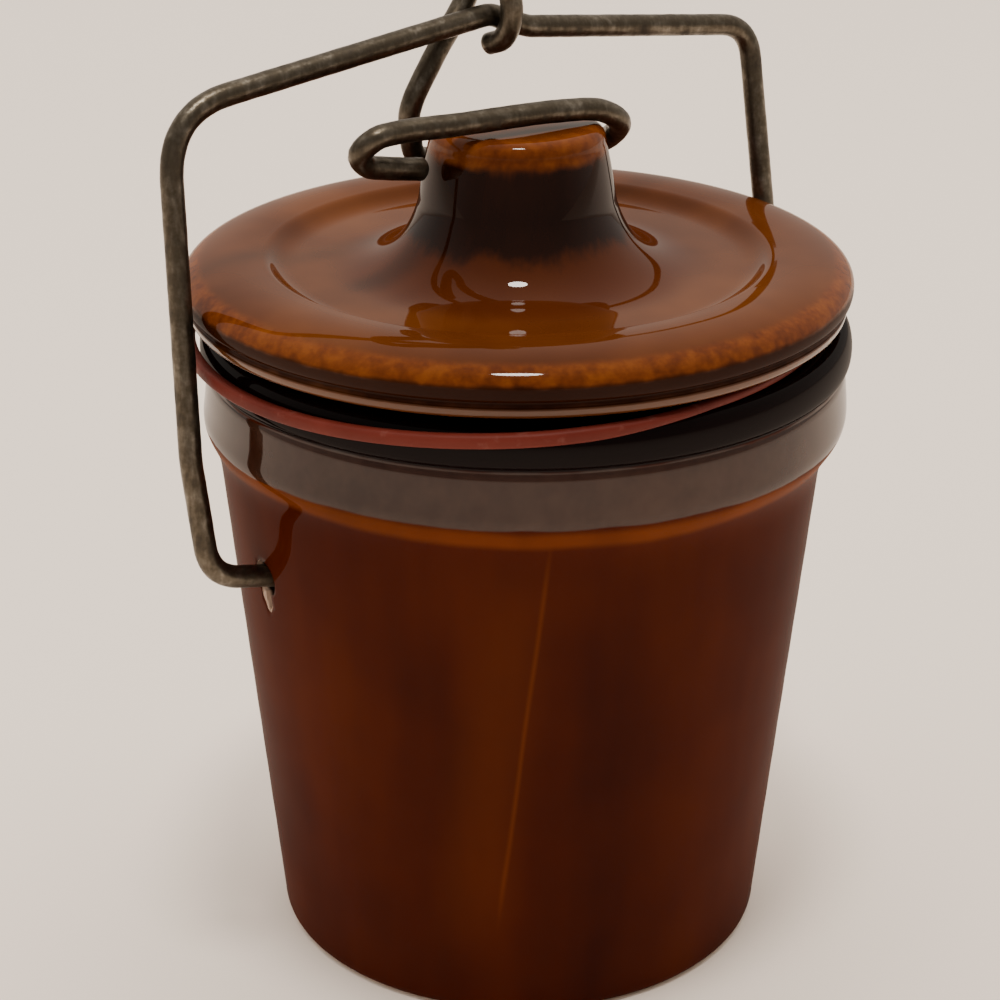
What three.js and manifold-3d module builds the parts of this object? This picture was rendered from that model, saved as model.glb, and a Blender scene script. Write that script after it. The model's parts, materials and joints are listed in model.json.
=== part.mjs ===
// Small glazed stoneware crock with a knobbed lid, a rubber sealing ring and a wire bail with its clamp.
// Millimetres, +Z up, origin at the centre of the foot, X along the pivot of the bail.
import * as THREE from 'three';
import { mergeVertices } from 'three/addons/utils/BufferGeometryUtils.js';
import Module from 'manifold-3d';

const wasm = await Module();
wasm.setup();

// Crock: tapered body, shoulder, plain band and a rolled bead under the flat rim, a little off centre
const footFlatRadius = 33.8;
const footRadius = 35.3;
const footRound = 2;
const bodyTopRadius = 41.9;
const bodyTopHeight = 70;
const shoulderHeight = 76;
const bandRadius = 44.4;
const bandBottom = 81;
const bandTop = 84.4;
const grooveDepth = 0.4;
const beadFoot = 86.1;
const beadRadius = 45.3;
const rimRadius = 43.4;
const rimHeight = 91;
const collarShift = 0.85;

// Pivot holes of the bail, and the chip below the left one
const pivotHeight = 60.8;
const pivotHoleRadius = 2.6;
const pivotHoleReach = 36;
const chipDrop = 2.6;
const chipRadii = { deep: 1.1, wide: 1.2, tall: 2.9 };
const holeSides = 16;
const chipSides = { around: 12, tall: 8 };

// Lid: plug, lip, broad rolled edge, shallow well and flared knob
const lidShift = -0.55;
const plugRadius = 40;
const plugBottom = 91.4;
const lipRadius = 45.1;
const lipBottom = 93;
const lipTop = 94.4;
const lipRound = 0.7;
const neckRadius = 44.7;
const neckHeight = 95.2;
const lidRadius = 45.85;
const lidEdgeHeight = 96.9;
const edgeFullness = 2.8;
const crestRadius = 38;
const crestHeight = 100.6;
const crestFullness = 3;
const wellRadius = 35;
const wellEdgeHeight = 100.4;
const wellRound = 1.6;
const wellFloorRadius = 30.5;
const wellFloor = 98.6;
const flareRadius = 25;
const flareEase = 6.5;
const waistRadius = 13.5;
const waistHeight = 107.4;
const waistEase = { out: 1.7, down: 5.9 };
const knobMidRadius = 12.7;
const knobRadius = 11.9;
const knobTop = 118.1;
const knobRound = 2.2;

// Rubber ring: hangs out over the bead on the -X side, pinched under the lip on the +X side
const ringOutRadius = 45.7;
const ringInRadius = 41.8;
const ringHalfWidth = 0.9;
const ringHalfHeight = 0.95;
const ringPinch = 0.6;
const ringLow = 89.2;
const ringHigh = 92;
const ringTuck = { from: 0.2, to: 0.8 };
const ringSqueeze = { from: 0.3, to: 0.45 };

// Wire of the bail and of the clamp
const wireRadius = 1.55;
const wireSides = 8;

// Bail: leans back a little, one arm either side, roof with a kink near the middle
const bailLean = THREE.MathUtils.degToRad(10.5);
const stubEnd = 37.6;
const stubDrop = 0.3;
const stubRise = 2;
const leftArm = { foot: -49, top: -46.5, eave: 63.6, bend: 5.5, corner: 11 };
const leftElbow = { x: -49.6, height: 18, bend: 20 };
const rightArm = { foot: 47.8, top: 46.8, eave: 63.4, bend: 5.5, corner: 5.5 };
const peak = { x: 3, height: 70.2, bend: 4 };
const kink = { x: 9, height: 67.8, bend: 6 };

// Clamp, measured from the peak of the bail: hooked eye, tail behind it, loop round the knob, finger loop
const eyeDepth = 3.9;
const eyeBottom = -4.1;
const eyeTop = 6.2;
const eyeSkew = 1.2;
const eyePoints = 8;
const eyeTurn = 1.45 * Math.PI;
const clampTail = [[-7.8, 2.2, -5.8], [-11.4, 2.2, -12.2], [-11, 3, -15.9], [-9.6, 3.8, -19.4]];
const behindKnob = [
  [-5, 4.5, -20.4], [2, 2.7, -20.2], [8, -1.8, -19.6], [11.8, -8.3, -18], [11.5, -13.8, -15.2],
];
const overKnob = [[9.7, -17.5, -12.3], [6.2, -18, -10.3], [-0.2, -17.6, -9.6], [-15.7, -16.5, -9.5]];
const fingerLoop = [
  [-23.3, -15.3, -9.6], [-27, -15.3, -10], [-28.6, -14, -12.1], [-27, -13, -14.1], [-24.2, -12.8, -14.9],
  [-18.3, -12.1, -16.1],
];

const weldTolerance = 1e-4;
const latheSegments = 56;
const crockRoundPoints = 5;
const lidRoundPoints = 4;
const ringRoundPoints = 5;
const wireSteps = { bail: 124, clamp: 104 };

const glaze = { color: 0x4a1a08, roughness: 0.15, metalness: 0 };
const rubber = { color: 0x7a2c22, roughness: 0.7, metalness: 0 };
const steel = { color: 0x6f675c, roughness: 0.45, metalness: 0.9 };

// Closed mesh with shared vertices and no triangle without area, +Z along the lathe's axis
function welded(geometry) {
  geometry.deleteAttribute('normal');
  geometry.deleteAttribute('uv');
  const merged = mergeVertices(geometry, weldTolerance);
  const index = merged.index.array;
  const kept = [];
  for (let i = 0; i < index.length; i += 3) {
    const [a, b, c] = [index[i], index[i + 1], index[i + 2]];
    if (a !== b && b !== c && c !== a) {
      kept.push(a, b, c);
    }
  }
  merged.setIndex(kept);
  return merged;
}

function turned(profile, roundPoints) {
  const lathe = new THREE.LatheGeometry(profile.getPoints(roundPoints), latheSegments);
  lathe.rotateX(Math.PI / 2);
  return welded(lathe);
}

function solidOf(geometry) {
  const vertProperties = new Float32Array(geometry.attributes.position.array);
  const triVerts = new Uint32Array(geometry.index.array);
  return new wasm.Manifold(new wasm.Mesh({ numProp: 3, vertProperties, triVerts }));
}

function geometryOf(solid) {
  const mesh = solid.getMesh();
  const geometry = new THREE.BufferGeometry();
  geometry.setAttribute('position', new THREE.BufferAttribute(new Float32Array(mesh.vertProperties), 3));
  geometry.setIndex(new THREE.BufferAttribute(new Uint32Array(mesh.triVerts), 1));
  return geometry;
}

function piece(name, geometry, finish) {
  geometry.computeVertexNormals();
  const mesh = new THREE.Mesh(geometry, new THREE.MeshStandardMaterial(finish));
  mesh.name = name;
  return mesh;
}

function bodyRadiusAt(height) {
  return THREE.MathUtils.mapLinear(height, footRound, bodyTopHeight, footRadius, bodyTopRadius);
}

function crockProfile() {
  const profile = new THREE.Path();
  const grooveMiddle = (bandTop + beadFoot) / 2;
  profile.moveTo(0, 0);
  profile.lineTo(footFlatRadius, 0);
  profile.quadraticCurveTo(footRadius, 0, footRadius, footRound);
  profile.lineTo(bodyTopRadius, bodyTopHeight);
  const flare = bodyRadiusAt(shoulderHeight);
  profile.bezierCurveTo(flare, shoulderHeight, bandRadius, shoulderHeight, bandRadius, bandBottom);
  profile.lineTo(bandRadius, bandTop);
  profile.quadraticCurveTo(bandRadius - grooveDepth, grooveMiddle, bandRadius, beadFoot);
  profile.bezierCurveTo(beadRadius, beadFoot, beadRadius, rimHeight, rimRadius, rimHeight);
  profile.lineTo(0, rimHeight);
  return profile;
}

// The collar above the straight body sits a little towards +X
function makeBody() {
  const body = turned(crockProfile(), crockRoundPoints);
  const position = body.attributes.position;
  for (let i = 0; i < position.count; i++) {
    const shift = collarShift * THREE.MathUtils.smoothstep(position.getZ(i), bodyTopHeight, bandBottom);
    position.setX(i, position.getX(i) + shift);
  }
  return solidOf(body);
}

function pivotHole(side) {
  const length = bandRadius - pivotHoleReach;
  const hole = new THREE.CylinderGeometry(pivotHoleRadius, pivotHoleRadius, length, holeSides);
  hole.rotateZ(Math.PI / 2);
  hole.translate(side * (bandRadius + pivotHoleReach) / 2, 0, pivotHeight);
  return solidOf(welded(hole));
}

function holeChip() {
  const height = pivotHeight - chipDrop;
  const chip = new THREE.SphereGeometry(1, chipSides.around, chipSides.tall);
  chip.scale(chipRadii.deep, chipRadii.wide, chipRadii.tall);
  chip.translate(-bodyRadiusAt(height), 0, height);
  return solidOf(welded(chip));
}

function makeCrock() {
  let body = makeBody();
  for (const side of [-1, 1]) {
    body = body.subtract(pivotHole(side));
  }
  return piece('crock', geometryOf(body.subtract(holeChip())), glaze);
}

function lidProfile() {
  const profile = new THREE.Path();
  const waistIn = { radius: waistRadius + waistEase.out, height: waistHeight - waistEase.down };
  const crestMiddle = (crestRadius + wellRadius) / 2;
  profile.moveTo(0, plugBottom);
  profile.lineTo(plugRadius, plugBottom);
  profile.lineTo(plugRadius, lipBottom);
  profile.lineTo(lipRadius - lipRound, lipBottom);
  profile.quadraticCurveTo(lipRadius, lipBottom, lipRadius, lipTop);
  profile.quadraticCurveTo(neckRadius, lipTop, neckRadius, neckHeight);
  profile.quadraticCurveTo(lidRadius, neckHeight, lidRadius, lidEdgeHeight);
  const edgeTop = lidEdgeHeight + edgeFullness;
  const crestOut = crestRadius + crestFullness;
  profile.bezierCurveTo(lidRadius, edgeTop, crestOut, crestHeight, crestRadius, crestHeight);
  profile.quadraticCurveTo(crestMiddle, crestHeight, wellRadius, wellEdgeHeight);
  const wellWall = wellRadius - wellRound;
  profile.bezierCurveTo(wellWall, wellEdgeHeight, wellWall, wellFloor, wellFloorRadius, wellFloor);
  profile.lineTo(flareRadius, wellFloor);
  const flareIn = flareRadius - flareEase;
  profile.bezierCurveTo(flareIn, wellFloor, waistIn.radius, waistIn.height, waistRadius, waistHeight);
  profile.quadraticCurveTo(knobMidRadius, (waistHeight + knobTop) / 2, knobRadius, knobTop - knobRound);
  profile.quadraticCurveTo(knobRadius, knobTop, knobRadius - knobRound, knobTop);
  profile.lineTo(0, knobTop);
  return profile;
}

function makeLid() {
  const lid = piece('lid', turned(lidProfile(), lidRoundPoints), glaze);
  lid.position.x = lidShift;
  return lid;
}

// The ring's path turns from its hanging side at angle pi to its pinched side at angle 0
function makeRing() {
  const section = new THREE.Path();
  section.absellipse(ringOutRadius, 0, ringHalfWidth, 1, 0, 2 * Math.PI);
  const ring = turned(section, ringRoundPoints);
  const position = ring.attributes.position;
  for (let i = 0; i < position.count; i++) {
    const angle = Math.atan2(position.getY(i), position.getX(i));
    const across = Math.hypot(position.getX(i), position.getY(i)) - ringOutRadius;
    const turn = (1 + Math.cos(angle)) / 2;
    const tuck = THREE.MathUtils.smoothstep(turn, ringTuck.from, ringTuck.to);
    const squeeze = THREE.MathUtils.smoothstep(turn, ringSqueeze.from, ringSqueeze.to);
    const radius = THREE.MathUtils.lerp(ringOutRadius, ringInRadius, tuck) + across;
    const halfHeight = THREE.MathUtils.lerp(ringHalfHeight, ringPinch, squeeze);
    const height = Math.min(ringLow + 2 * (ringHigh - ringLow) * turn, ringHigh);
    const z = height + position.getZ(i) * halfHeight;
    position.setXYZ(i, radius * Math.cos(angle), radius * Math.sin(angle), z);
  }
  return piece('sealing_ring', ring, rubber);
}

const wireSection = new THREE.Shape(Array.from({ length: wireSides }, (_, i) => {
  const angle = 2 * Math.PI * i / wireSides;
  return new THREE.Vector2(wireRadius * Math.cos(angle), wireRadius * Math.sin(angle));
}));

function wire(path, steps) {
  return welded(new THREE.ExtrudeGeometry(wireSection, { steps, extrudePath: path }));
}

// Straight runs between the corners, each corner rounded to its own bend radius
function bentPath(start, corners, end) {
  const path = new THREE.CurvePath();
  let from = start;
  corners.forEach(({ at, bend }, i) => {
    const next = i + 1 < corners.length ? corners[i + 1].at : end;
    const back = from.clone().sub(at).normalize();
    const ahead = next.clone().sub(at).normalize();
    const setback = bend / Math.tan(back.angleTo(ahead) / 2);
    const entry = at.clone().addScaledVector(back, setback);
    const exit = at.clone().addScaledVector(ahead, setback);
    path.add(new THREE.LineCurve3(from, entry));
    path.add(new THREE.QuadraticBezierCurve3(entry, at, exit));
    from = exit;
  });
  path.add(new THREE.LineCurve3(from, end));
  return path;
}

function makeBail() {
  const place = (x, height) => new THREE.Vector3(x, 0, height);
  const corners = [
    { at: place(leftArm.foot, stubRise), bend: leftArm.bend },
    { at: place(leftElbow.x, leftElbow.height), bend: leftElbow.bend },
    { at: place(leftArm.top, leftArm.eave), bend: leftArm.corner },
    { at: place(peak.x, peak.height), bend: peak.bend },
    { at: place(kink.x, kink.height), bend: kink.bend },
    { at: place(rightArm.top, rightArm.eave), bend: rightArm.corner },
    { at: place(rightArm.foot, stubRise), bend: rightArm.bend },
  ];
  const path = bentPath(place(-stubEnd, -stubDrop), corners, place(stubEnd, -stubDrop));
  const bail = piece('bail', wire(path, wireSteps.bail), steel);
  bail.position.z = pivotHeight;
  bail.rotation.x = -bailLean;
  return bail;
}

// The eye's end lies under the bail, and the wire climbs in front of it, over it and down behind it
function clampPath() {
  const points = [];
  const middle = (eyeTop + eyeBottom) / 2;
  const half = (eyeTop - eyeBottom) / 2;
  for (let i = 0; i < eyePoints; i++) {
    const angle = eyeTurn * i / (eyePoints - 1);
    const x = eyeSkew * Math.sin(angle);
    points.push(new THREE.Vector3(x, -eyeDepth * Math.sin(angle), middle - half * Math.cos(angle)));
  }
  for (const [x, y, z] of [...clampTail, ...behindKnob, ...overKnob, ...fingerLoop]) {
    points.push(new THREE.Vector3(x, y, z));
  }
  return new THREE.CatmullRomCurve3(points, false, 'centripetal');
}

function makeClamp() {
  const clamp = piece('clamp', wire(clampPath(), wireSteps.clamp), steel);
  const peakRise = peak.height * Math.cos(bailLean);
  clamp.position.set(peak.x, peak.height * Math.sin(bailLean), pivotHeight + peakRise);
  return clamp;
}

const crockWithBail = new THREE.Group();
crockWithBail.add(makeCrock(), makeLid(), makeRing(), makeBail(), makeClamp());

export default crockWithBail;
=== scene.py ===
import json
import math
import bpy
import numpy as np
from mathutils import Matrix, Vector


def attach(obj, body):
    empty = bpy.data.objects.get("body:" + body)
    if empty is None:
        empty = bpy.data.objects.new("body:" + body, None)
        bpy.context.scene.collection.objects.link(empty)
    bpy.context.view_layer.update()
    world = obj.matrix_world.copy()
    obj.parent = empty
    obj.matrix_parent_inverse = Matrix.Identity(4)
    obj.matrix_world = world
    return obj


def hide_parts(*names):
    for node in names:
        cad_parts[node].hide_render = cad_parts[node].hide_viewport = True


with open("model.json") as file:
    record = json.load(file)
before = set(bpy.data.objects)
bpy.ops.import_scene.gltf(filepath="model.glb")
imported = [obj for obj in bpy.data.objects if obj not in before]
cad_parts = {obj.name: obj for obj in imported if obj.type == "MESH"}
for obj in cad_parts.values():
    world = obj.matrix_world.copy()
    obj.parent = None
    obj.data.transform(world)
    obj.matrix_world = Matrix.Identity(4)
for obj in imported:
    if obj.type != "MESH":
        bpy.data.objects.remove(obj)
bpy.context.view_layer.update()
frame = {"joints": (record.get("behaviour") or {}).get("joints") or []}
mm = 0.001
joints = {joint["name"]: Vector(joint["pos_m"]) for joint in frame["joints"]}
pivot = joints["bail_swing"] / mm
peakAt = joints["clamp_tip"] / mm


# Shader values: arithmetic on a Val adds Math nodes
class Val:
    def __init__(self, finish, socket):
        self.finish = finish
        self.socket = socket

    def math(self, operation, first, second):
        return self.finish.add("ShaderNodeMath", {"operation": operation}, {0: first, 1: second})

    def __add__(self, other):
        return self.math("ADD", self, other)

    def __sub__(self, other):
        return self.math("SUBTRACT", self, other)

    def __rsub__(self, other):
        return self.math("SUBTRACT", other, self)

    def __mul__(self, other):
        return self.math("MULTIPLY", self, other)

    __radd__ = __add__
    __rmul__ = __mul__


# The nodes of one material, or of the world
class Finish:
    def __init__(self, holder, place="Object"):
        self.holder = holder
        self.holder.use_nodes = True
        self.tree = self.holder.node_tree
        self.tree.nodes.clear()
        self.place = self.add("ShaderNodeTexCoord", out=place)

    def add(self, kind, settings=None, sockets=None, out=0):
        node = self.tree.nodes.new(kind)
        for key, value in (settings or {}).items():
            if key == "stops":
                while len(node.color_ramp.elements) < len(value):
                    node.color_ramp.elements.new(1.0)
                for element, (at, colour) in zip(node.color_ramp.elements, value):
                    element.position = at
                    element.color = (*colour, 1.0)
            else:
                setattr(node, key, value)
        for key, value in (sockets or {}).items():
            if isinstance(value, Val):
                self.tree.links.new(value.socket, node.inputs[key])
            else:
                node.inputs[key].default_value = value
        return Val(self, node.outputs[out]) if len(node.outputs) else None

    def noise(self, scale, detail=4.0, rough=0.55, stretch=(1.0, 1.0, 1.0)):
        where = self.add("ShaderNodeMapping", None, {"Vector": self.place, "Scale": stretch})
        sockets = {"Vector": where, "Scale": scale, "Detail": detail, "Roughness": rough}
        return self.add("ShaderNodeTexNoise", {"noise_dimensions": "3D"}, sockets)

    def ease(self, value, low, high):
        sockets = {"Value": value, "From Min": low, "From Max": high}
        return self.add("ShaderNodeMapRange", {"interpolation_type": "SMOOTHSTEP"}, sockets)

    def band(self, value, low, high, soft):
        return self.ease(value, low - soft, low + soft) * (1 - self.ease(value, high - soft, high + soft))

    def ramp(self, value, stops):
        return self.add("ShaderNodeValToRGB", {"stops": stops}, {"Fac": value}, out="Color")

    def mix(self, factor, first, second):
        sockets = {0: factor, 6: self.colour(first), 7: self.colour(second)}
        return self.add("ShaderNodeMix", {"data_type": "RGBA"}, sockets, out=2)

    def colour(self, value):
        return value if isinstance(value, Val) else (*value, 1.0)

    def along(self, axis):
        return self.add("ShaderNodeSeparateXYZ", None, {"Vector": self.place}, out=axis) * (1 / mm)

    def radius(self, centreX):
        level = {0: self.place, 1: (1.0, 1.0, 0.0)}
        flat = self.add("ShaderNodeVectorMath", {"operation": "MULTIPLY"}, level)
        sockets = {0: flat, 1: (centreX * mm, 0.0, 0.0)}
        reach = self.add("ShaderNodeVectorMath", {"operation": "DISTANCE"}, sockets, out="Value")
        return reach * (1 / mm)

    def dot(self, direction):
        sockets = {0: self.place, 1: direction}
        return self.add("ShaderNodeVectorMath", {"operation": "DOT_PRODUCT"}, sockets, out="Value")

    def away(self, centre):
        sockets = {0: self.place, 1: tuple(c * mm for c in centre)}
        reach = self.add("ShaderNodeVectorMath", {"operation": "DISTANCE"}, sockets, out="Value")
        return reach * (1 / mm)

    def bump(self, height, depth):
        return self.add("ShaderNodeBump", None, {"Height": height, "Distance": depth * mm, "Strength": 1.0})

    def shade(self, sockets):
        shader = self.add("ShaderNodeBsdfPrincipled", None, sockets, out="BSDF")
        self.add("ShaderNodeOutputMaterial", None, {"Surface": shader})
        return self.holder


def newFinish(name):
    return Finish(bpy.data.materials.new(name))


# Mesh makers, in millimetres until the last step
def smoothstep(value, low, high):
    t = np.clip((value - low) / (high - low), 0.0, 1.0)
    return t * t * (3 - 2 * t)


def curveTo(profile, controls, steps):
    points = np.array([profile[-1], *controls], float)
    order = len(points) - 1
    for i in range(1, steps + 1):
        t = i / steps
        weights = [math.comb(order, k) * t ** k * (1 - t) ** (order - k) for k in range(order + 1)]
        profile.append(tuple(np.dot(weights, points)))


def lineTo(profile, end, steps):
    curveTo(profile, [end], steps)


def meshPiece(name, points, faces, body, slot, material, *nodes):
    mesh = bpy.data.meshes.new(name)
    mesh.from_pydata((np.asarray(points) * mm).tolist(), [], faces)
    mesh.update()
    mesh.shade_smooth()
    piece = bpy.data.objects.new(name, mesh)
    bpy.context.scene.collection.objects.link(piece)
    mesh.materials.append(material)
    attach(piece, body)
    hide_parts(*nodes)
    print(name, "made,", len(faces), "faces")
    return piece


def turn(profile, segments, warp):
    rings = np.array(profile[1:-1], float)
    angles = np.linspace(0.0, 2 * np.pi, segments, endpoint=False)
    r = np.repeat(rings[:, 0], segments)
    z = np.repeat(rings[:, 1], segments)
    a = np.tile(angles, len(rings))
    points = warp(r, z, a)
    low, high = len(points), len(points) + 1
    ends = warp(np.zeros(2), np.array([profile[0][1], profile[-1][1]]), np.zeros(2))
    points = np.vstack([points, ends])
    faces = []
    for i in range(segments):
        j = (i + 1) % segments
        faces.append((low, j, i))
        for k in range(len(rings) - 1):
            a0, b0 = k * segments, (k + 1) * segments
            faces.append((a0 + i, a0 + j, b0 + j, b0 + i))
        last = (len(rings) - 1) * segments
        faces.append((last + i, last + j, high))
    return points, faces


def sweep(path, radius, sides):
    path = np.asarray(path, float)
    step = np.gradient(path, axis=0)
    tangent = step / np.linalg.norm(step, axis=1)[:, None]
    side = np.cross(tangent[0], (0.3, 1.0, 0.2))
    points = []
    reach = np.concatenate([[0.0], np.cumsum(np.linalg.norm(np.diff(path, axis=0), axis=1))])
    angles = np.linspace(0.0, 2 * np.pi, sides, endpoint=False)
    for at, along, length in zip(path, tangent, reach):
        side = side - along * np.dot(side, along)
        side = side / np.linalg.norm(side)
        up = np.cross(along, side)
        # worn surface: slow thinning, and small dents that differ round it
        dent = 0.010 * np.sin(0.9 * length + 2 * angles) * np.sin(0.23 * length + 1.3)
        ripple = 0.006 * np.sin(2.3 * length + 3 * angles + 0.7) + 0.008 * math.sin(0.11 * length)
        r = radius * (1 + dent + ripple)
        points.append(at + np.outer(r * np.cos(angles), side) + np.outer(r * np.sin(angles), up))
    # cut ends: a rounded edge and a flat face
    inset = 0.78
    endLength = 0.25 * radius
    first = path[0] - tangent[0] * endLength
    final = path[-1] + tangent[-1] * endLength
    points.insert(0, first + (points[0] - path[0]) * inset)
    points.append(final + (points[-1] - path[-1]) * inset)
    count = len(points)
    faces = [tuple(range(sides - 1, -1, -1))]
    for k in range(count - 1):
        for i in range(sides):
            j = (i + 1) % sides
            faces.append((k * sides + i, k * sides + j, (k + 1) * sides + j, (k + 1) * sides + i))
    faces.append(tuple((count - 1) * sides + i for i in range(sides)))
    return np.vstack(points), faces


# Camera first, at the photograph's view
view = {
    "place": (-0.18526, -0.28527, 0.21043), "down": 66.53, "heading": -32.52,
    "lens": 93.6, "sensor": 36.0, "near": 0.01,
}
camera = bpy.data.objects.new("viewCamera", bpy.data.cameras.new("viewCamera"))
bpy.context.scene.collection.objects.link(camera)
camera.location = view["place"]
camera.rotation_euler = (math.radians(view["down"]), 0.0, math.radians(view["heading"]))
camera.data.lens = view["lens"]
camera.data.sensor_width = view["sensor"]
camera.data.clip_start = view["near"]
bpy.context.scene.camera = camera


# Crock: brown glaze over stoneware
crock = {
    "footFlat": 33.8, "footRadius": 35.3, "footRound": 2.0,
    "topRadius": 41.9, "topHeight": 70.0, "shoulder": 75.6, "flareFull": 0.3,
    "bandLow": (44.75, 79.0), "bandHigh": (44.2, 84.6), "groove": 0.45, "beadStep": 0.2,
    "beadFoot": 85.9, "beadRadius": 45.3, "rimRadius": 43.4, "rimHeight": 91.0,
    "collarShift": 0.85, "segments": 288, "throwing": 0.012, "wobble": 0.05, "wall": 30.0,
}
# chips: deep, wide, tall, drop below the pivot
hole = {"radius": 2.6, "reach": 36.0, "chips": [(0.50, 1.75, 3.6, 2.9), (3.0, 1.0, 2.4, 2.7)]}
# a run in the glaze, straight down the front: slope across, along and up, and its offset
run = {"slope": (0.852, -0.524, -0.106), "offset": 5.18}


# radius of the body at a height, for numbers and for shader values
def bodyRadius(z):
    rise = (crock["topRadius"] - crock["footRadius"]) / (crock["topHeight"] - crock["footRound"])
    return z * rise + (crock["footRadius"] - crock["footRound"] * rise)


def crockProfile():
    c = crock
    profile = [(0.0, 0.0)]
    lineTo(profile, (c["footFlat"], 0.0), 6)
    curveTo(profile, [(c["footRadius"], 0.0), (c["footRadius"], c["footRound"])], 8)
    lineTo(profile, (c["topRadius"], c["topHeight"]), 70)
    highRadius, highHeight = c["bandHigh"]
    flareFrom = (bodyRadius(c["shoulder"]), c["shoulder"])
    flareTo = (c["bandLow"][0] + c["flareFull"], c["shoulder"])
    curveTo(profile, [flareFrom, flareTo, c["bandLow"]], 26)
    lineTo(profile, c["bandHigh"], 8)
    middle = (highHeight + c["beadFoot"]) / 2
    curveTo(profile, [(highRadius - c["groove"], middle), (highRadius + c["beadStep"], c["beadFoot"])], 8)
    curveTo(profile, [(c["beadRadius"], c["beadFoot"]), (c["beadRadius"], c["rimHeight"]),
                      (c["rimRadius"], c["rimHeight"])], 18)
    lineTo(profile, (0.0, c["rimHeight"]), 8)
    return profile


def crockWarp(r, z, a):
    c = crock
    onBody = smoothstep(z, 3.0, 12.0) * (1 - smoothstep(z, 60.0, 70.0))
    ripple = c["throwing"] * np.sin(0.78 * z + 0.6 * np.sin(a)) * onBody
    oval = c["wobble"] * np.sin(2 * a + 0.7 + 0.02 * z) * smoothstep(z, 2.0, 20.0)
    reach = r + (ripple + oval) * (r > c["wall"])
    shift = c["collarShift"] * smoothstep(z, c["topHeight"], c["bandLow"][1] + 2)
    return np.column_stack([reach * np.cos(a) + shift, reach * np.sin(a), z])


crockLook = {
    "glaze": [(0.34, (0.034, 0.0038, 0.0004)), (0.50, (0.052, 0.0064, 0.0006)),
              (0.66, (0.072, 0.0106, 0.0008))],
    "thin": (0.22, 0.052, 0.004), "beside": (0.20, 0.048, 0.004),
    "grey": [(0.38, (0.020, 0.0105, 0.0068)), (0.62, (0.046, 0.0270, 0.0190))],
    # the colour deep inside the pivot holes is painted shade
    "bead": (0.0050, 0.0022, 0.0022), "holeShade": (0.020, 0.008, 0.004),
    "chip": [(0.40, 0.27, 0.20), (0.60, 0.46, 0.37)], "foot": [(0.36, 0.25, 0.16), (0.50, 0.37, 0.26)],
    "flareZ": (75.0, 77.4), "collarZ": (77.6, 85.2), "beadZ": (84.9, 85.5), "footZ": (0.15, 0.5),
    "gloss": 0.11, "collarGloss": 0.60, "beadGloss": 0.06, "relief": 0.10,
}


def crockGlaze():
    look = crockLook
    f = newFinish("crockGlaze")
    z = f.along("Z")
    cloud = f.noise(28.0, 3.0)
    fine = f.noise(300.0, 2.0)
    runs = f.noise(60.0, 3.0, 0.6, (1.0, 1.0, 0.12))
    colour = f.ramp(cloud * 0.55 + runs * 0.45, look["glaze"])
    # thinner glaze where the body flares, and to one side of the run
    wavy = z + (cloud - 0.5) * 3.0
    thin = f.band(wavy, *look["flareZ"], 0.7) * (0.12 + runs * 0.6)
    colour = f.mix(thin, colour, look["thin"])
    across = f.dot(run["slope"]) * (1 / mm) + run["offset"] + (runs - 0.5) * 2.0
    front = 1 - f.ease(f.along("Y"), -24.0, -12.0)
    ridge = f.band(across, -0.25, 0.25, 0.30) * front * f.band(z, 18.0, 72.0, 6.0)
    beside = f.band(across, -8.0, 0.5, 3.5) * front * f.band(z, 14.0, 66.0, 10.0)
    colour = f.mix(ridge * 0.30 + beside * 0.12, colour, look["beside"])
    collar = f.band(z + (runs - 0.5) * 1.4, *look["collarZ"], 0.18)
    colour = f.mix(collar * 0.75, colour, f.ramp(cloud * 0.6 + fine * 0.4, look["grey"]))
    bead = f.ease(z, *look["beadZ"])
    colour = f.mix(bead, colour, look["bead"])
    # bare clay: in the chip, round the pivot holes and under the foot; deep in the holes the clay is painted
    # shade
    sunk = bodyRadius(z) - f.radius(0.0)
    surface = bodyRadius(pivot.z)
    nearHole = 1 - f.ease(f.away((-surface, 0.0, pivot.z - 1.5)), 6.5, 7.5)
    farHole = 1 - f.ease(f.away((surface, 0.0, pivot.z)), 5.0, 6.0)
    cut = f.ease(sunk, 0.04, 0.10) * (nearHole + farHole)
    # deeper in the holes the clay colour gives way to painted shade
    clayAndHoleShade = f.mix(f.ease(sunk, 0.6, 1.2), f.mix(fine, *look["chip"]), look["holeShade"])
    colour = f.mix(cut, colour, clayAndHoleShade)
    under = 1 - f.ease(z + (fine - 0.5) * 0.5, *look["footZ"])
    colour = f.mix(under, colour, f.mix(fine, *look["foot"]))
    bare = f.ease(cut + under, 0.1, 0.9)
    gloss = look["gloss"] + collar * look["collarGloss"] + bead * look["beadGloss"]
    height = cloud * 0.5 + fine * 0.08 + runs * 0.30
    return f.shade({
        "Base Color": colour,
        "Roughness": 0.12 + fine * 0.06 + bare * 0.6,
        "Specular IOR Level": 0.0,
        "Coat Weight": gloss * (1 - bare),
        "Coat Roughness": 0.04,
        "Normal": f.bump(height, look["relief"]),
    })


def cutter(name, points, faces):
    mesh = bpy.data.meshes.new(name)
    mesh.from_pydata((np.asarray(points) * mm).tolist(), [], faces)
    tool = bpy.data.objects.new(name, mesh)
    bpy.context.scene.collection.objects.link(tool)
    return tool


def drill(side):
    reach = [side * hole["reach"], side * (crock["beadRadius"] + 2)]
    points, faces = sweep([(x, 0.0, pivot.z) for x in np.linspace(*reach, 8)], hole["radius"], 40)
    return cutter("drill", points, faces)


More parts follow.
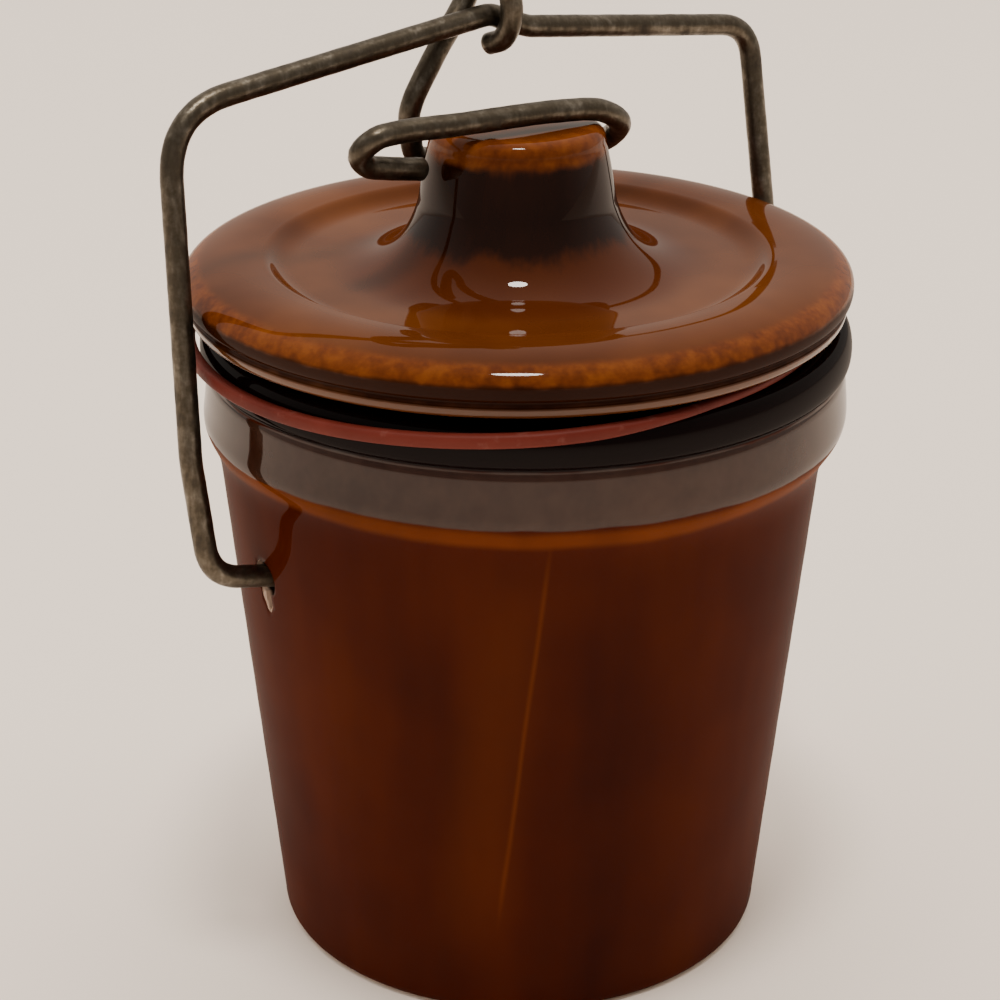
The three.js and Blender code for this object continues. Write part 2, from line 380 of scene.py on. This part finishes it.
def chipTool(centre, deep, wide, tall):
    profile = [(0.0, -1.0)]
    curveTo(profile, [(0.55, -0.75), (1.25, -0.1), (0.9, 0.75), (0.0, 1.0)], 22)
    outward = np.array([centre[0], centre[1]]) / math.hypot(centre[0], centre[1])

    def warp(r, h, a):
        jag = 1 + 0.10 * np.sin(3 * a + 2.2 * h) + 0.06 * np.sin(7 * a + 1.1)
        inOut = deep * r * jag * np.cos(a)
        across = wide * r * jag * np.sin(a)
        x = centre[0] + inOut * outward[0] - across * outward[1]
        y = centre[1] + inOut * outward[1] + across * outward[0]
        return np.column_stack([x, y, centre[2] + tall * h])

    points, faces = turn(profile, 40, warp)
    return cutter("chipTool", points, faces)


def pivotChip(deep, wide, tall, drop):
    return chipTool((-bodyRadius(pivot.z - drop), 0.0, pivot.z - drop), deep, wide, tall)


def carve(piece, tools):
    for tool in tools:
        cut = piece.modifiers.new(tool.name, "BOOLEAN")
        cut.object = tool
        cut.operation = "DIFFERENCE"
        cut.solver = "EXACT"
    graph = bpy.context.evaluated_depsgraph_get()
    carved = bpy.data.meshes.new_from_object(piece.evaluated_get(graph))
    piece.modifiers.clear()
    piece.data = carved
    carved.shade_smooth()
    for tool in tools:
        bpy.data.objects.remove(tool)


points, faces = turn(crockProfile(), crock["segments"], crockWarp)
crockPiece = meshPiece("crockBody", points, faces, "root", "crock_glaze", crockGlaze(), "crock")
carve(crockPiece, [drill(-1), drill(1)] + [pivotChip(*chip) for chip in hole["chips"]])
print("crock carved:", len(crockPiece.data.polygons), "faces")


# Lid: same glaze, breaking to amber on the rolled edge and the knob's edge
lid = {
    "shift": -0.55, "plugRadius": 40.0, "plugBottom": 91.4,
    "lipRadius": 45.1, "lipBottom": 93.0, "lipTop": 94.4, "lipRound": 0.7,
    "neck": (44.7, 95.2), "edge": (45.85, 96.9), "edgeFull": 2.8,
    "crest": (38.0, 100.6), "crestFull": 3.0, "well": (35.0, 100.4), "wellRound": 1.6,
    "floorRadius": 30.5, "floor": 98.6, "flareRadius": 25.0, "flareEase": 6.5,
    "waist": (13.5, 107.4), "waistEase": (1.7, 5.9),
    "midRadius": 12.7, "knobRadius": 11.9, "knobTop": 118.1, "knobRound": 2.2,
    "segments": 288, "wobble": 0.08, "lean": 0.05, "knobFall": 1.0, "back": (0.54, 0.84),
    "chipAt": (23.9, -38.3, 93.1), "chipSize": (0.9, 1.5, 0.8),
}


def lidProfile():
    d = lid
    profile = [(0.0, d["plugBottom"])]
    lineTo(profile, (d["plugRadius"], d["plugBottom"]), 4)
    lineTo(profile, (d["plugRadius"], d["lipBottom"]), 3)
    lineTo(profile, (d["lipRadius"] - d["lipRound"], d["lipBottom"]), 4)
    curveTo(profile, [(d["lipRadius"], d["lipBottom"]), (d["lipRadius"], d["lipTop"])], 8)
    curveTo(profile, [(d["neck"][0], d["lipTop"]), d["neck"]], 6)
    curveTo(profile, [(d["edge"][0], d["neck"][1]), d["edge"]], 10)
    crestRadius, crestHeight = d["crest"]
    edgeTop = (d["edge"][0], d["edge"][1] + d["edgeFull"])
    curveTo(profile, [edgeTop, (crestRadius + d["crestFull"], crestHeight), d["crest"]], 26)
    curveTo(profile, [((crestRadius + d["well"][0]) / 2, crestHeight), d["well"]], 8)
    wall = d["well"][0] - d["wellRound"]
    curveTo(profile, [(wall, d["well"][1]), (wall, d["floor"]), (d["floorRadius"], d["floor"])], 16)
    lineTo(profile, (d["flareRadius"], d["floor"]), 6)
    waistRadius, waistHeight = d["waist"]
    outBy, downBy = d["waistEase"]
    flareFrom = (d["flareRadius"] - d["flareEase"], d["floor"])
    curveTo(profile, [flareFrom, (waistRadius + outBy, waistHeight - downBy), d["waist"]], 28)
    middle = (waistHeight + d["knobTop"]) / 2
    curveTo(profile, [(d["midRadius"], middle), (d["knobRadius"], d["knobTop"] - d["knobRound"])], 14)
    curveTo(profile, [(d["knobRadius"], d["knobTop"]), (d["knobRadius"] - d["knobRound"], d["knobTop"])], 10)
    lineTo(profile, (0.0, d["knobTop"]), 6)
    return profile


def lidWarp(r, z, a):
    oval = lid["wobble"] * np.sin(2 * a + 2.1) * smoothstep(r, 15.0, 40.0)
    lean = lid["lean"] * smoothstep(z, 99.0, 112.0) * np.sin(3 * a + 0.4) * smoothstep(r, 4.0, 9.0)
    reach = r + oval + lean
    x = reach * np.cos(a)
    y = reach * np.sin(a)
    # the knob's top falls a little toward the back
    behind = lid["back"][0] * x + lid["back"][1] * y
    fall = lid["knobFall"] * smoothstep(behind, -3.0, 12.0) * smoothstep(z, 114.5, 118.0)
    return np.column_stack([x + lid["shift"], y, z - fall])


lidLook = {
    "glaze": [(0.32, (0.048, 0.0105, 0.0013)), (0.52, (0.074, 0.0178, 0.0021)),
              (0.70, (0.104, 0.0275, 0.0034))],
    "amber": [(0.36, (0.078, 0.0150, 0.0012)), (0.50, (0.125, 0.0275, 0.0020)),
              (0.64, (0.175, 0.0450, 0.0038))],
    # the knob side colour is painted shade over streaked glaze
    "knobFoot": (0.050, 0.0090, 0.0020), "knobSideShade": [(0.0030, 0.0012, 0.0010), (0.016, 0.0040, 0.0016)],
    # the neck and under colours are painted shade, the lip colour a painted highlight
    "neck": (0.016, 0.0040, 0.0014), "lip": (0.11, 0.042, 0.014), "under": (0.02, 0.010, 0.006),
    "chip": [(0.50, 0.43, 0.36), (0.78, 0.72, 0.64)],
    "rolledZ": (97.5, 99.8), "rolledR": (42.4, 44.2), "footR": (13.0, 24.0), "shadedSideZ": (103.5, 115.0),
    "knobEdgeZ": (114.9, 118.6), "knobEdgeR": (7.0, 10.5), "neckShadeZ": (94.5, 97.4), "neckShadeR": (44.0, 44.5),
    "lipZ": (93.2, 94.3), "underShadeZ": (92.6, 93.0), "gloss": 0.38, "lipGloss": 0.5, "relief": 0.06,
}


def lidGlaze():
    look = lidLook
    f = newFinish("lidGlaze")
    z = f.along("Z")
    r = f.radius(lid["shift"])
    cloud = f.noise(34.0, 3.0)
    fine = f.noise(300.0, 2.0)
    fleck = f.noise(900.0, 2.0)
    streaks = f.noise(300.0, 3.0, 0.6, (1.0, 1.0, 0.08))
    colour = f.ramp(cloud, look["glaze"])
    amber = f.ramp(fine * 0.6 + fleck * 0.4, look["amber"])
    rolled = f.ease(r, *look["rolledR"]) * f.band(z + (fine - 0.5) * 1.2, *look["rolledZ"], 0.4)
    colour = f.mix(rolled * 0.85, colour, amber)
    # the foot of the knob is redder, its side painted nearly black as painted shade over streaked glaze, and
    # its edge amber
    foot = f.band(r + (cloud - 0.5) * 2.0, *look["footR"], 3.0)
    colour = f.mix(foot * 0.6, colour, look["knobFoot"])
    # painted shade: the knob's side is painted near black, with glaze streaks
    side = f.band(z + (streaks - 0.5) * 5.0, *look["shadedSideZ"], 1.2)
    colour = f.mix(side * 0.92, colour, f.mix(streaks, *look["knobSideShade"]))
    knobEdge = f.band(z + (fine - 0.5) * 1.6, *look["knobEdgeZ"], 0.6) * f.ease(r, *look["knobEdgeR"])
    colour = f.mix(knobEdge * 0.85, colour, amber)
    # painted shade under the rolled edge, a painted highlight on the lip, bare clay in its chip
    neck = f.ease(r, *look["neckShadeR"]) * f.band(z + (fine - 0.5) * 1.0, *look["neckShadeZ"], 0.4)
    colour = f.mix(neck * 0.9, colour, look["neck"])
    # painted highlight: the lip band is painted paler, and its coat is raised
    lip = f.band(z, *look["lipZ"], 0.25)
    colour = f.mix(lip * 0.6, colour, look["lip"])
    # painted shade: the lid's underside and plug are painted dark
    colour = f.mix(1 - f.ease(z, *look["underShadeZ"]), colour, look["under"])
    chipped = 1 - f.ease(f.away(lid["chipAt"]), 0.9, 1.3)
    colour = f.mix(chipped, colour, f.mix(fleck, *look["chip"]))
    # less coat in the painted shade under the rolled edge, more on the lip
    gloss = look["gloss"] + cloud * 0.16 - neck * 0.30 + lip * look["lipGloss"]
    height = cloud * 0.5 + fine * 0.10 + streaks * side * 0.15
    return f.shade({
        "Base Color": colour,
        "Roughness": 0.12 + fine * 0.05 + chipped * 0.5,
        "Specular IOR Level": 0.0,
        "Coat Weight": gloss * (1 - chipped),
        "Coat Roughness": 0.03,
        "Normal": f.bump(height, look["relief"]),
    })


points, faces = turn(lidProfile(), lid["segments"], lidWarp)
lidPiece = meshPiece("lidBody", points, faces, "root", "lid_glaze", lidGlaze(), "lid")
carve(lidPiece, [chipTool(lid["chipAt"], *lid["chipSize"])])
print("lid chipped:", len(lidPiece.data.polygons), "faces")


# Rubber ring: hangs out over the bead at -X, pinched under the lip at +X
ring = {
    "out": 45.7, "in": 41.8, "halfWidth": 0.9, "halfHeight": 0.95, "pinched": 0.6,
    "low": 89.2, "high": 92.0, "tuck": (0.2, 0.8), "squeeze": (0.3, 0.45), "around": 320, "section": 20,
    "wave": 0.08, "squareness": 0.7,
    "rubber": [(0.3, (0.090, 0.0110, 0.0065)), (0.55, (0.130, 0.0180, 0.0105)),
               (0.75, (0.165, 0.0280, 0.0175))],
    "scuff": (0.20, 0.070, 0.055), "relief": 0.05,
}


def ringMesh():
    g = ring
    points = []
    for a in np.linspace(0.0, 2 * np.pi, g["around"], endpoint=False):
        turned = (1 + math.cos(a)) / 2
        reach = g["out"] + (g["in"] - g["out"]) * smoothstep(turned, *g["tuck"])
        tall = g["halfHeight"] + (g["pinched"] - g["halfHeight"]) * smoothstep(turned, *g["squeeze"])
        height = min(g["low"] + 2 * (g["high"] - g["low"]) * turned, g["high"])
        height += g["wave"] * math.sin(5 * a) * (1 - turned)
        for s in np.linspace(0.0, 2 * np.pi, g["section"], endpoint=False):
            # a squarish moulded section
            across = math.copysign(abs(math.cos(s)) ** g["squareness"], math.cos(s))
            upward = math.copysign(abs(math.sin(s)) ** g["squareness"], math.sin(s))
            radius = reach + g["halfWidth"] * across
            points.append((radius * math.cos(a), radius * math.sin(a), height + tall * upward))
    faces = []
    n, m = g["around"], g["section"]
    for i in range(n):
        for k in range(m):
            nextI, nextK = (i + 1) % n, (k + 1) % m
            faces.append((i * m + k, nextI * m + k, nextI * m + nextK, i * m + nextK))
    return points, faces


def ringRubber():
    f = newFinish("ringRubber")
    grain = f.noise(420.0, 3.0, 0.6)
    age = f.noise(60.0, 3.0)
    colour = f.ramp(age, ring["rubber"])
    colour = f.mix(f.ease(grain, 0.58, 0.72) * 0.4, colour, ring["scuff"])
    return f.shade({
        "Base Color": colour,
        "Roughness": 0.42 + grain * 0.25,
        "Specular IOR Level": 0.18,
        "Normal": f.bump(grain, ring["relief"]),
    })


points, faces = ringMesh()
meshPiece("sealRing", points, faces, "root", "ring_rubber", ringRubber(), "sealing_ring")


# Bail and clamp: one gauge of worn steel wire
wire = {
    "radius": 1.55, "sides": 24, "step": 0.7, "relief": 0.08,
    "steel": [(0.36, (0.044, 0.034, 0.023)), (0.46, (0.080, 0.065, 0.046)),
              (0.56, (0.132, 0.113, 0.087)), (0.68, (0.25, 0.222, 0.180))],
}
bail = {
    "lean": 10.5, "stubEnd": 37.6, "stubDrop": 0.3,
    # across, up the arm, bend radius
    "corners": [(-49.0, 2.0, 5.5), (-49.6, 18.0, 20.0), (-46.5, 63.6, 11.0), (3.0, 70.2, 4.0),
                (9.0, 67.8, 6.0), (46.8, 63.4, 5.5), (47.8, 2.0, 5.5)],
}
# measured from the peak of the bail
clamp = {
    "eyeDepth": 3.9, "eyeBottom": -4.1, "eyeTop": 6.2, "eyeSkew": 1.2, "eyeTurn": 1.45, "eyePoints": 8,
    "tail": [(-7.8, 2.2, -5.8), (-11.4, 2.2, -12.2), (-11.0, 3.0, -15.9), (-9.6, 3.8, -19.4)],
    "behindKnob": [(-5.0, 4.5, -20.4), (2.0, 2.7, -20.2), (8.0, -1.8, -19.6), (11.8, -8.3, -18.0),
                   (11.5, -13.8, -15.2)],
    "overKnob": [(9.7, -17.5, -12.3), (6.2, -18.0, -10.3), (-0.2, -17.6, -9.6), (-15.7, -16.5, -9.5)],
    "fingerLoop": [(-23.3, -15.3, -9.6), (-27.0, -15.3, -10.0), (-28.6, -14.0, -12.1), (-27.0, -13.0, -14.1),
                   (-24.2, -12.8, -14.9), (-18.3, -12.1, -16.1)],
}


def evenly(path):
    path = np.asarray(path, float)
    reach = np.concatenate([[0.0], np.cumsum(np.linalg.norm(np.diff(path, axis=0), axis=1))])
    wanted = np.linspace(0.0, reach[-1], int(reach[-1] / wire["step"]))
    return np.column_stack([np.interp(wanted, reach, path[:, k]) for k in range(3)])


def bailPath():
    lean = math.radians(bail["lean"])
    corners = [(np.array(c[:2]), c[2]) for c in bail["corners"]]
    end = np.array([bail["stubEnd"], -bail["stubDrop"]])
    flat = [np.array([-bail["stubEnd"], -bail["stubDrop"]])]
    for i, (at, bend) in enumerate(corners):
        ahead = corners[i + 1][0] if i + 1 < len(corners) else end
        back = (flat[-1] - at) / np.linalg.norm(flat[-1] - at)
        forth = (ahead - at) / np.linalg.norm(ahead - at)
        setback = bend / math.tan(math.acos(float(np.dot(back, forth))) / 2)
        flat.append(at + back * setback)
        curveTo(flat, [at, at + forth * setback], 20)
    flat.append(end)
    return evenly([(x, w * math.sin(lean), pivot.z + w * math.cos(lean)) for x, w in flat])


# centripetal Catmull-Rom curve
def throughPoints(points, steps):
    points = np.array(points, float)
    points = np.vstack([2 * points[0] - points[1], points, 2 * points[-1] - points[-2]])
    path = []
    for p0, p1, p2, p3 in zip(points, points[1:], points[2:], points[3:]):
        spans = [np.linalg.norm(b - a) ** 0.5 for a, b in ((p0, p1), (p1, p2), (p2, p3))]
        t0, t1, t2, t3 = np.cumsum([0.0] + spans)
        for t in np.linspace(t1, t2, steps, endpoint=False):
            a1 = (t1 - t) / (t1 - t0) * p0 + (t - t0) / (t1 - t0) * p1
            a2 = (t2 - t) / (t2 - t1) * p1 + (t - t1) / (t2 - t1) * p2
            a3 = (t3 - t) / (t3 - t2) * p2 + (t - t2) / (t3 - t2) * p3
            b1 = (t2 - t) / (t2 - t0) * a1 + (t - t0) / (t2 - t0) * a2
            b2 = (t3 - t) / (t3 - t1) * a2 + (t - t1) / (t3 - t1) * a3
            path.append((t2 - t) / (t2 - t1) * b1 + (t - t1) / (t2 - t1) * b2)
    path.append(points[-2])
    return path


def clampPath():
    k = clamp
    middle = (k["eyeTop"] + k["eyeBottom"]) / 2
    half = (k["eyeTop"] - k["eyeBottom"]) / 2
    points = []
    for i in range(k["eyePoints"]):
        a = k["eyeTurn"] * math.pi * i / (k["eyePoints"] - 1)
        rise = middle - half * math.cos(a)
        points.append((k["eyeSkew"] * math.sin(a), -k["eyeDepth"] * math.sin(a), rise))
    points += k["tail"] + k["behindKnob"] + k["overKnob"] + k["fingerLoop"]
    return evenly(np.array(throughPoints(points, 24)) + np.array(peakAt))


def wornWire():
    f = newFinish("wornWire")
    blotch = f.noise(300.0, 3.0, 0.65)
    grain = f.noise(1500.0, 2.0, 0.6)
    streak = f.noise(900.0, 2.0, 0.6, (1.0, 1.0, 0.25))
    tone = blotch * 0.5 + streak * 0.35 + grain * 0.15
    dull = 1 - f.ease(tone, 0.36, 0.50)
    return f.shade({
        "Base Color": f.ramp(tone, wire["steel"]),
        "Metallic": 0.95 - dull * 0.35,
        "Roughness": 0.30 + dull * 0.25 + grain * 0.10,
        "Normal": f.bump(blotch * 0.6 + grain * 0.4, wire["relief"]),
    })


steel = wornWire()
points, faces = sweep(bailPath(), wire["radius"], wire["sides"])
meshPiece("bailWire", points, faces, "bail", "wire", steel, "bail")
points, faces = sweep(clampPath(), wire["radius"], wire["sides"])
meshPiece("clampWire", points, faces, "clamp", "wire", steel, "clamp")


# Plain pale floor, soft studio light
studio = {
    "floorHalf": 3.0, "floorCells": 24, "floorDrop": 0.0001, "floorColour": (0.92, 0.81, 0.72),
    "back": (0.54, 0.80, 0.26), "backGlow": (0.92, 0.83, 0.73), "frontGlow": (0.30, 0.275, 0.25),
    # place, aim, size, watts, colour, seen in the gloss
    "lights": [
        ("keyPanel", (0.30, 0.60, 1.15), (0.02, 0.05, 0.0), 2.40, 24.0, (1.0, 0.94, 0.86), False),
        ("leftPanel", (-1.10, 0.10, 0.70), (0.0, 0.0, 0.07), 1.40, 4.0, (1.0, 0.95, 0.90), False),
        ("rightPanel", (1.10, -0.20, 0.60), (0.0, 0.0, 0.07), 1.40, 3.0, (1.0, 0.93, 0.85), False),
        ("ceilingLamp", (-0.095, -0.150, 0.985), (0.0, 0.0, 0.10), 0.16, 5.0, (1.0, 0.93, 0.84), True),
    ],
}


def floorFinish():
    f = newFinish("paleFloor")
    weave = f.noise(6.0, 4.0)
    base = studio["floorColour"]
    return f.shade({
        "Base Color": f.mix(weave, tuple(c * 0.97 for c in base), base),
        "Roughness": 0.75 + weave * 0.1,
        "Specular IOR Level": 0.2,
    })


def floorGrid():
    cells = studio["floorCells"]
    line = np.linspace(-studio["floorHalf"], studio["floorHalf"], cells + 1)
    points = [(x, y, -studio["floorDrop"]) for y in line for x in line]
    faces = []
    for j in range(cells):
        for i in range(cells):
            corner = j * (cells + 1) + i
            faces.append((corner, corner + 1, corner + cells + 2, corner + cells + 1))
    return points, faces


points, faces = floorGrid()
floorMesh = bpy.data.meshes.new("floor")
floorMesh.from_pydata(points, [], faces)
floorMesh.materials.append(floorFinish())
floor = bpy.data.objects.new("floor", floorMesh)
bpy.context.scene.collection.objects.link(floor)

for name, place, aim, size, watts, colour, inGloss in studio["lights"]:
    light = bpy.data.lights.new(name, "AREA")
    light.shape = "DISK"
    light.size = size
    light.energy = watts
    light.color = colour
    lamp = bpy.data.objects.new(name, light)
    lamp.location = place
    lamp.visible_glossy = inGloss
    lamp.rotation_euler = (Vector(aim) - Vector(place)).to_track_quat("-Z", "Y").to_euler()
    bpy.context.scene.collection.objects.link(lamp)

world = bpy.data.worlds.new("studio")
room = Finish(world, "Generated")
toBack = room.ease(room.dot(studio["back"]), -0.7, 0.8)
glow = room.mix(toBack, studio["frontGlow"], studio["backGlow"])
background = room.add("ShaderNodeBackground", None, {"Color": glow})
room.add("ShaderNodeOutputWorld", None, {"Surface": background})
bpy.context.scene.world = world
print("studio lit")
